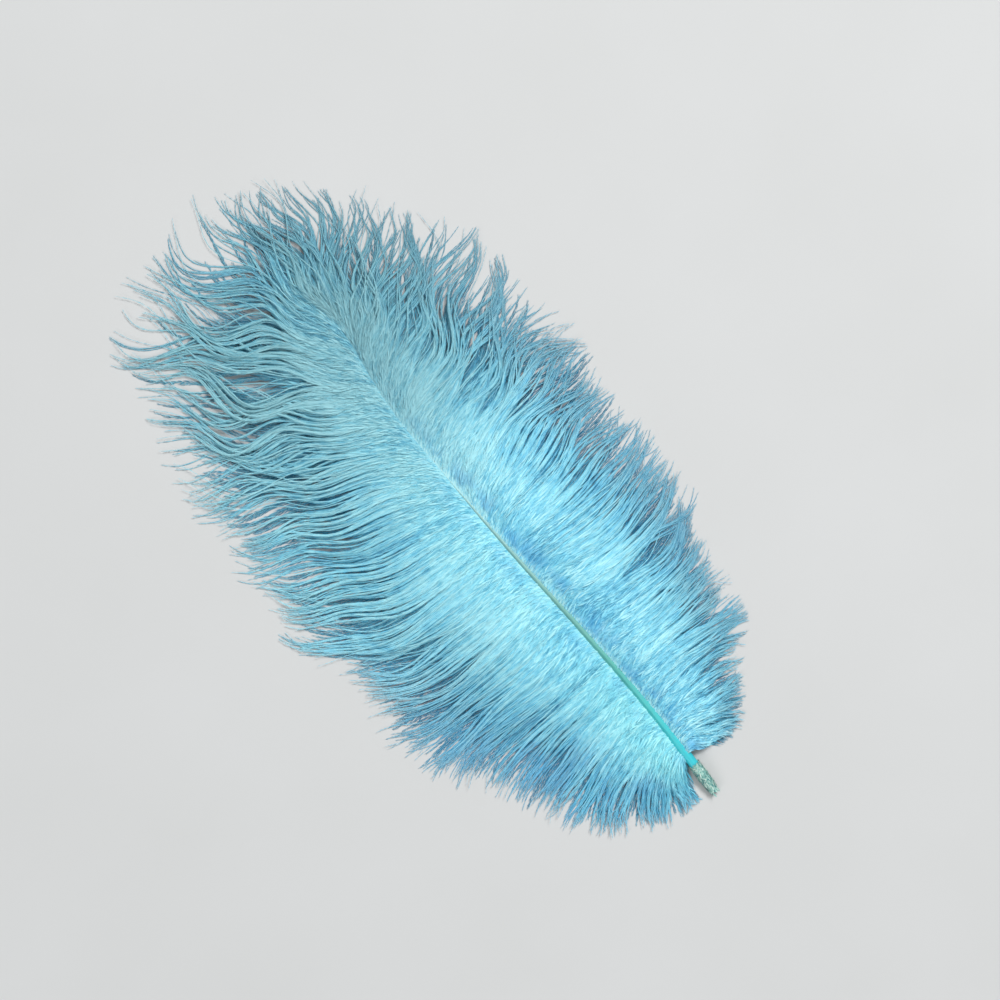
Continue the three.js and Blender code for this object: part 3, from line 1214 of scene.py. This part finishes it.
def draw_shaft(dice):
    outside = shaft_length * np.linspace(0, 1, SHAFT_RINGS) ** CLOSER_RINGS_AT_QUILL
    inside = np.linspace(HOLLOW_DEPTH, 0, HOLLOW_RINGS)
    along = np.concatenate([inside, outside])[:, None]
    angle = np.linspace(0, 2 * np.pi, SHAFT_SIDES, endpoint=False)[None, :]
    ragged = RIM_SCATTER * dice.uniform(0, 1, SHAFT_SIDES) + RIM_WAVE * np.sin(3 * angle[0] + 1)
    along = along + np.maximum(ragged, 0) * np.exp(-along / RIM_FADES_IN)
    angle = np.broadcast_to(angle, along.shape)
    flutes = 0.06 * np.sin(7 * angle + 0.4 * along) + 0.05 * np.sin(11 * angle - 0.7 * along + 2)
    sheath = sheath_cover(along, angle)
    radius = bare_radius(along, angle) + sheath * (SHEATH_THICKNESS + flutes)
    closing = 1 - HOLLOW_CLOSES * smooth_step(0, 1, inside / HOLLOW_DEPTH) ** 4
    radius[:HOLLOW_RINGS] = HOLLOW_RADIUS * closing[:, None]
    tip_closing = np.clip((shaft_length - along) / TIP_CLOSES_IN, 0.05, 1)
    points, faces = rings_to_mesh(shaft_surface(along, angle, radius * tip_closing))
    ring_share = np.repeat(np.arange(len(along)), SHAFT_SIDES) / len(along)
    sheet = np.stack([ring_share, (angle / SHEET_TURNS).ravel()], -1)
    return points, faces, {"along": along.ravel(), "sheathed": sheath.ravel()}, sheet


print("the hollow is", HOLLOW_DEPTH, "mm deep and", 2 * HOLLOW_RADIUS, "mm wide")

# %% [markdown]
# The dried sheath comes off in thin scales. Each one here is a small strip that lies on the quill and
# lifts at its free end, and a few hundred of them in random places make the end rough and frayed.

# %% Draw the sheath's scales
SCALES = 700
SCALE_STEPS = 3
SCALE_POINTS = 3 * (SCALE_STEPS + 1)
SCALE_LENGTHS = (0.7, 2.4)
SCALE_HALF_ANGLES = (0.07, 0.24)
SCALE_LIFTS = (0.03, 0.6)
SCALE_SKEW = 0.25
SCALE_NARROWS = 0.75
SCALE_RISE = 0.05
LOWEST_SCALE_POINT = 0.03
# This share of the scales points up the shaft, and the others point to the cut end
POINTING_UP = 0.75
# Scales can stand past the cut end and past the sheath's edge by this much
PAST_CUT_END, PAST_SHEATH = 1.6, 1.0
SHEET_COLUMNS, SHEET_ROWS = 28, 25


def draw_scales(dice):
    along = dice.uniform(0.2, SHEATH_LENGTH + 0.3, SCALES)
    angle = dice.uniform(0, 2 * np.pi, SCALES)
    long = dice.uniform(*SCALE_LENGTHS, SCALES)
    long = long * dice.choice([-1, 1], SCALES, p=[POINTING_UP, 1 - POINTING_UP])
    half_angle = dice.uniform(*SCALE_HALF_ANGLES, SCALES)
    lift = dice.uniform(*SCALE_LIFTS, SCALES)
    skew = dice.normal(0, SCALE_SKEW, SCALES)
    share = np.linspace(0, 1, SCALE_STEPS + 1)
    s = np.clip(along[:, None] - long[:, None] * share, -PAST_CUT_END, SHEATH_LENGTH + PAST_SHEATH)
    middle = angle[:, None] + skew[:, None] * share
    narrow = 1 - SCALE_NARROWS * share**2
    rise = SHEATH_THICKNESS + SCALE_RISE + lift[:, None] * share**2
    rows = []
    for hand in (-1, 0, 1):
        turn = middle + hand * half_angle[:, None] * narrow
        curl = SCALE_RISE * (1 - abs(hand))
        rows.append(shaft_surface(s, turn, bare_radius(s, turn) + rise - curl))
    grid = np.stack(rows, 2)
    grid[..., 2] = np.maximum(grid[..., 2], LOWEST_SCALE_POINT)
    first = SCALE_POINTS * np.arange(SCALES)[:, None, None]
    faces = (strip_faces(SCALE_STEPS)[None] + first).reshape(-1, 3)
    tone = np.repeat(dice.uniform(0, 1, SCALES), SCALE_POINTS)
    marks = {"along": np.repeat(s, 3), "tone": tone}
    return grid.reshape(-1, 3), faces, marks, scale_sheet()


def scale_sheet():
    """The flat map, where each scale has a cell of a grid to itself."""
    number = np.repeat(np.arange(SCALES), SCALE_POINTS)
    corner = np.tile(np.arange(SCALE_POINTS), SCALES)
    column = number % SHEET_COLUMNS + 0.1 + 0.8 * (corner // 3) / SCALE_STEPS
    row = number // SHEET_COLUMNS + 0.1 + 0.4 * (corner % 3)
    return np.stack([column / SHEET_COLUMNS, row / SHEET_ROWS], -1)


print("the sheath has", SCALES, "scales of", 4 * SCALE_STEPS, "triangles")


# %% [markdown]
# ## The shaft's colour
#
# The dye takes differently along the shaft: turquoise on the quill, a dull sea green further up, where
# the horn's own tan shows through, and paler near the tip. One colour ramp along the shaft holds that,
# fine streaks break it up, and the dry sheath is chalky white with some dye left in its creases.

# %% Paint the shaft
FIBRE_SCALE = (2600, 130, 2600)
CRUMB_SCALE = (1900, 900, 1900)

horn, start = new_material("dyed_horn")
sheathed = read_mark(start, "sheathed")
place = start.node("ShaderNodeTexCoord", {}, {}, "Object")
fibres, crumbs = (
    noise_at(start.node("ShaderNodeMapping", {}, {"Vector": place, "Scale": scale}, "Vector"), 4.0)
    for scale in (FIBRE_SCALE, CRUMB_SCALE)
)
dyed = ramp(read_mark(start, "along") / shaft_length, [
    (0.06, linear(50, 208, 222)),
    (0.16, linear(76, 206, 208)),
    (0.28, linear(94, 184, 172)),
    (0.42, linear(124, 180, 170)),
    (0.6, linear(146, 192, 190)),
    (0.8, linear(160, 206, 210)),
])
dyed = blend(start, fibres * 0.33, dyed, linear(60, 134, 134))
chalk = ramp(crumbs, [
    (0.36, linear(66, 128, 132)),
    (0.5, linear(128, 190, 182)),
    (0.64, linear(214, 236, 226)),
])
colour = blend(start, sheathed, dyed, chalk)
sockets = {"Base Color": colour, "Roughness": 0.38 + 0.4 * sheathed, "Normal": bump(fibres, 0.35)}
end_material(start, sockets)
print("the horn has", len(horn.node_tree.nodes), "nodes")

# %% [markdown]
# Each scale has a tone of its own, from a dyed crease to chalk. A ramp of three colours is enough.

# %% Paint the scales
dry, start = new_material("dry_sheath")
colour = ramp(read_mark(start, "tone"), [
    (0.0, linear(74, 138, 142)),
    (0.5, linear(148, 204, 194)),
    (1.0, linear(222, 240, 230)),
])
end_material(start, {"Base Color": colour, "Roughness": 0.8})
print("the dry sheath has", len(dry.node_tree.nodes), "nodes")

# %% Build the shaft
dice = np.random.default_rng(3)
make_piece("shaft", *draw_shaft(dice), horn)
make_piece("sheath_scales", *draw_scales(dice), dry)

# %% Print the model's box and finish
print("CAD box in mm   ", [round(v / MM, 1) for v in (*cad_low, *cad_high)])
